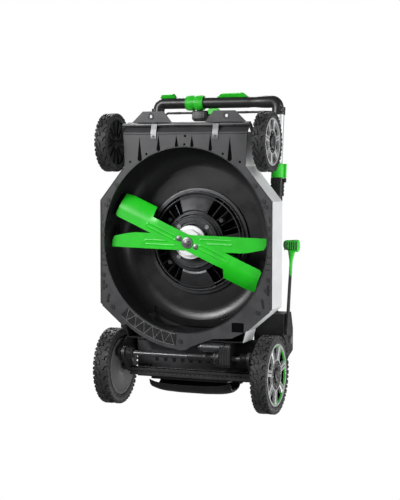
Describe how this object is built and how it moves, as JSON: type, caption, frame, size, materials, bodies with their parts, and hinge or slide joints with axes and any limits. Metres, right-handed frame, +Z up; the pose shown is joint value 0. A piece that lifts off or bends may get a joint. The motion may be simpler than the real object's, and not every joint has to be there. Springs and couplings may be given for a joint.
{
  "type": "walk-behind lawn mower",
  "caption": "Battery walk-behind lawn mower with blade chamber, folding telescopic handle, driven rear wheels and height lever.",
  "frame": {"origin": "on the ground under the middle of the folded mower", "axes": "+Z up; the mower's front faces -Y and the operator's left is +X"},
  "size_m": [0.636, 1.025, 0.394],
  "materials": {
    "pale_shell": "satin moulded plastic",
    "dark_moulding": "fine matte grain",
    "black_plastic": "matte",
    "blade_green": "gloss powder coat",
    "control_green": "gloss moulded plastic",
    "steel": "zinc plated",
    "black_steel": "satin black paint",
    "tube_silver": "satin anodised",
    "motor_alloy": "dark cast alloy",
    "carrier_white": "smooth white",
    "tyre_rubber": "matte tread rubber",
    "rim_silver": "satin silver",
    "grip_black": "soft grip"
  },
  "bodies": {
    "deck": {"deck_liner": "dark_moulding", "deck_cover": "pale_shell", "discharge_tunnel": "dark_moulding", "motor_plate": "dark_moulding", "motor_can": "motor_alloy", "motor_screws": "steel", "flange_screws": "steel", "front_axle_clips": "steel", "top_cowl": "dark_moulding", "battery_tray": "black_plastic", "gearbox_case": "black_plastic", "drive_motor": "motor_alloy", "bracket_left": "black_plastic", "bracket_right": "black_plastic", "pivot_bolts": "steel", "height_quadrant": "steel", "door_hinge": "black_plastic", "flap_hinge": "dark_moulding", "shaft_boots": "grip_black"},
    "battery": {"battery_pack": "black_plastic"},
    "lid": {"battery_lid": "dark_moulding"},
    "rotor": {"motor_rotor": "motor_alloy", "blade_carrier": "carrier_white", "upper_blade": "blade_green", "lower_blade": "blade_green", "blade_washer": "steel", "blade_bolt": "steel", "drive_pins": "steel"},
    "front_axle_crank": {"front_axle": "black_steel"},
    "rear_axle_swing": {"rear_axle": "black_steel", "dust_covers": "dark_moulding"},
    "shaft": {"drive_shaft": "black_steel"},
    "height_control": {"height_lever": "control_green", "lever_grip": "control_green"},
    "door": {"rear_door": "black_plastic"},
    "flap": {"side_flap": "dark_moulding"},
    "lower_handle": {"lower_tubes": "black_steel", "clamp_blocks": "black_plastic"},
    "cam_left": {"cam_lever_left": "control_green"},
    "cam_right": {"cam_lever_right": "control_green"},
    "upper_handle": {"upper_tubes": "tube_silver", "handle_bar": "grip_black", "control_box": "black_plastic"},
    "bail": {"bail_bar": "black_steel"},
    "dial": {"speed_dial": "control_green"},
    "start": {"start_button": "control_green"},
    "drive_paddle_left": {"paddle_left": "control_green"},
    "drive_paddle_right": {"paddle_right": "control_green"},
    "front_wheel_left": {"front_tyre_left": "tyre_rubber", "front_rim_left": "rim_silver", "front_hub_cap_left": "rim_silver"},
    "front_wheel_right": {"front_tyre_right": "tyre_rubber", "front_rim_right": "rim_silver", "front_hub_cap_right": "rim_silver"},
    "rear_wheel_left": {"rear_tyre_left": "tyre_rubber", "rear_rim_left": "rim_silver", "rear_hub_cap_left": "rim_silver"},
    "rear_wheel_right": {"rear_tyre_right": "tyre_rubber", "rear_rim_right": "rim_silver", "rear_hub_cap_right": "rim_silver"}
  },
  "joints": [
    {"name": "blade_spin", "type": "hinge", "parent": "deck", "child": "rotor", "pos_m": [0, -0.023, 0.15], "axis": [0, 0, 1], "continuous": true},
    {"name": "rear_axle_height", "type": "hinge", "parent": "deck", "child": "rear_axle_swing", "pos_m": [0, 0.338, 0.081], "axis": [1, 0, 0], "range_deg": [-20, 15]},
    {"name": "front_axle_height", "type": "hinge", "parent": "deck", "child": "front_axle_crank", "pos_m": [0, -0.396, 0.074], "axis": [1, 0, 0], "range_deg": [-20, 15]},
    {"name": "height_lever_swing", "type": "hinge", "parent": "deck", "child": "height_control", "pos_m": [0.29, 0.262, 0.228], "axis": [1, 0, 0], "range_deg": [-20, 15]},
    {"name": "front_wheel_left_spin", "type": "hinge", "parent": "front_axle_crank", "child": "front_wheel_left", "pos_m": [0.263, -0.3413, 0.094], "axis": [1, 0, 0], "continuous": true},
    {"name": "rear_wheel_left_spin", "type": "hinge", "parent": "rear_axle_swing", "child": "rear_wheel_left", "pos_m": [0.2654, 0.3888, 0.124], "axis": [1, 0, 0], "continuous": true},
    {"name": "front_wheel_right_spin", "type": "hinge", "parent": "front_axle_crank", "child": "front_wheel_right", "pos_m": [-0.263, -0.3413, 0.094], "axis": [1, 0, 0], "continuous": true},
    {"name": "rear_wheel_right_spin", "type": "hinge", "parent": "rear_axle_swing", "child": "rear_wheel_right", "pos_m": [-0.2654, 0.3888, 0.124], "axis": [1, 0, 0], "continuous": true},
    {"name": "drive_shaft_spin", "type": "hinge", "parent": "deck", "child": "shaft", "pos_m": [0, 0.338, 0.081], "axis": [1, 0, 0], "continuous": true},
    {"name": "handle_fold", "type": "hinge", "parent": "deck", "child": "lower_handle", "pos_m": [0, 0.297, 0.28], "axis": [-1, 0, 0], "range_deg": [0, 130]},
    {"name": "handle_telescope", "type": "slide", "parent": "lower_handle", "child": "upper_handle", "axis": [0, -0.9936, 0.1127], "range_m": [0, 0.25]},
    {"name": "cam_left_swing", "type": "hinge", "parent": "lower_handle", "child": "cam_left", "pos_m": [0.246, -0.2495, 0.34197], "axis": [0, -0.9936, 0.1127], "range_deg": [0, 100]},
    {"name": "cam_right_swing", "type": "hinge", "parent": "lower_handle", "child": "cam_right", "pos_m": [-0.246, -0.2495, 0.34197], "axis": [0, 0.9936, -0.1127], "range_deg": [0, 100]},
    {"name": "bail_squeeze", "type": "hinge", "parent": "upper_handle", "child": "bail", "pos_m": [0, -0.44027, 0.36361], "axis": [1, 0, 0], "range_deg": [0, 14], "stiffness_Nm_per_rad": 0.8, "springref_deg": -17.19},
    {"name": "speed_dial_turn", "type": "hinge", "parent": "upper_handle", "child": "dial", "pos_m": [-0.079, -0.479, 0.368], "axis": [1, 0, 0], "range_deg": [0, 90]},
    {"name": "start_button_press", "type": "slide", "parent": "upper_handle", "child": "start", "axis": [0, 0.1127, 0.9936], "range_m": [0, 0.004], "stiffness_N_per_m": 400, "springref_m": -0.002},
    {"name": "paddle_left_press", "type": "hinge", "parent": "upper_handle", "child": "drive_paddle_left", "pos_m": [0.053, -0.479, 0.368], "axis": [1, 0, 0], "range_deg": [0, 12], "stiffness_Nm_per_rad": 0.4, "springref_deg": -17.19},
    {"name": "paddle_right_press", "type": "hinge", "parent": "upper_handle", "child": "drive_paddle_right", "pos_m": [-0.177, -0.479, 0.368], "axis": [1, 0, 0], "range_deg": [0, 12], "stiffness_Nm_per_rad": 0.4, "springref_deg": -17.19},
    {"name": "battery_lid_open", "type": "hinge", "parent": "deck", "child": "lid", "pos_m": [0, 0.054, 0.332], "axis": [1, 0, 0], "range_deg": [0, 95]},
    {"name": "battery_eject", "type": "slide", "parent": "deck", "child": "battery", "axis": [0, 0, 1], "range_m": [0, 0.012]},
    {"name": "rear_door_open", "type": "hinge", "parent": "deck", "child": "door", "pos_m": [-0.02, 0.438, 0.258], "axis": [1, 0, 0], "range_deg": [0, 75]},
    {"name": "side_flap_open", "type": "hinge", "parent": "deck", "child": "flap", "pos_m": [-0.297, -0.01, 0.196], "axis": [0, 1, 0], "range_deg": [0, 70]}
  ],
  "couplings": [
    {"joint": "front_axle_height", "follows": "rear_axle_height", "ratio": 1},
    {"joint": "height_lever_swing", "follows": "rear_axle_height", "ratio": 1}
  ]
}
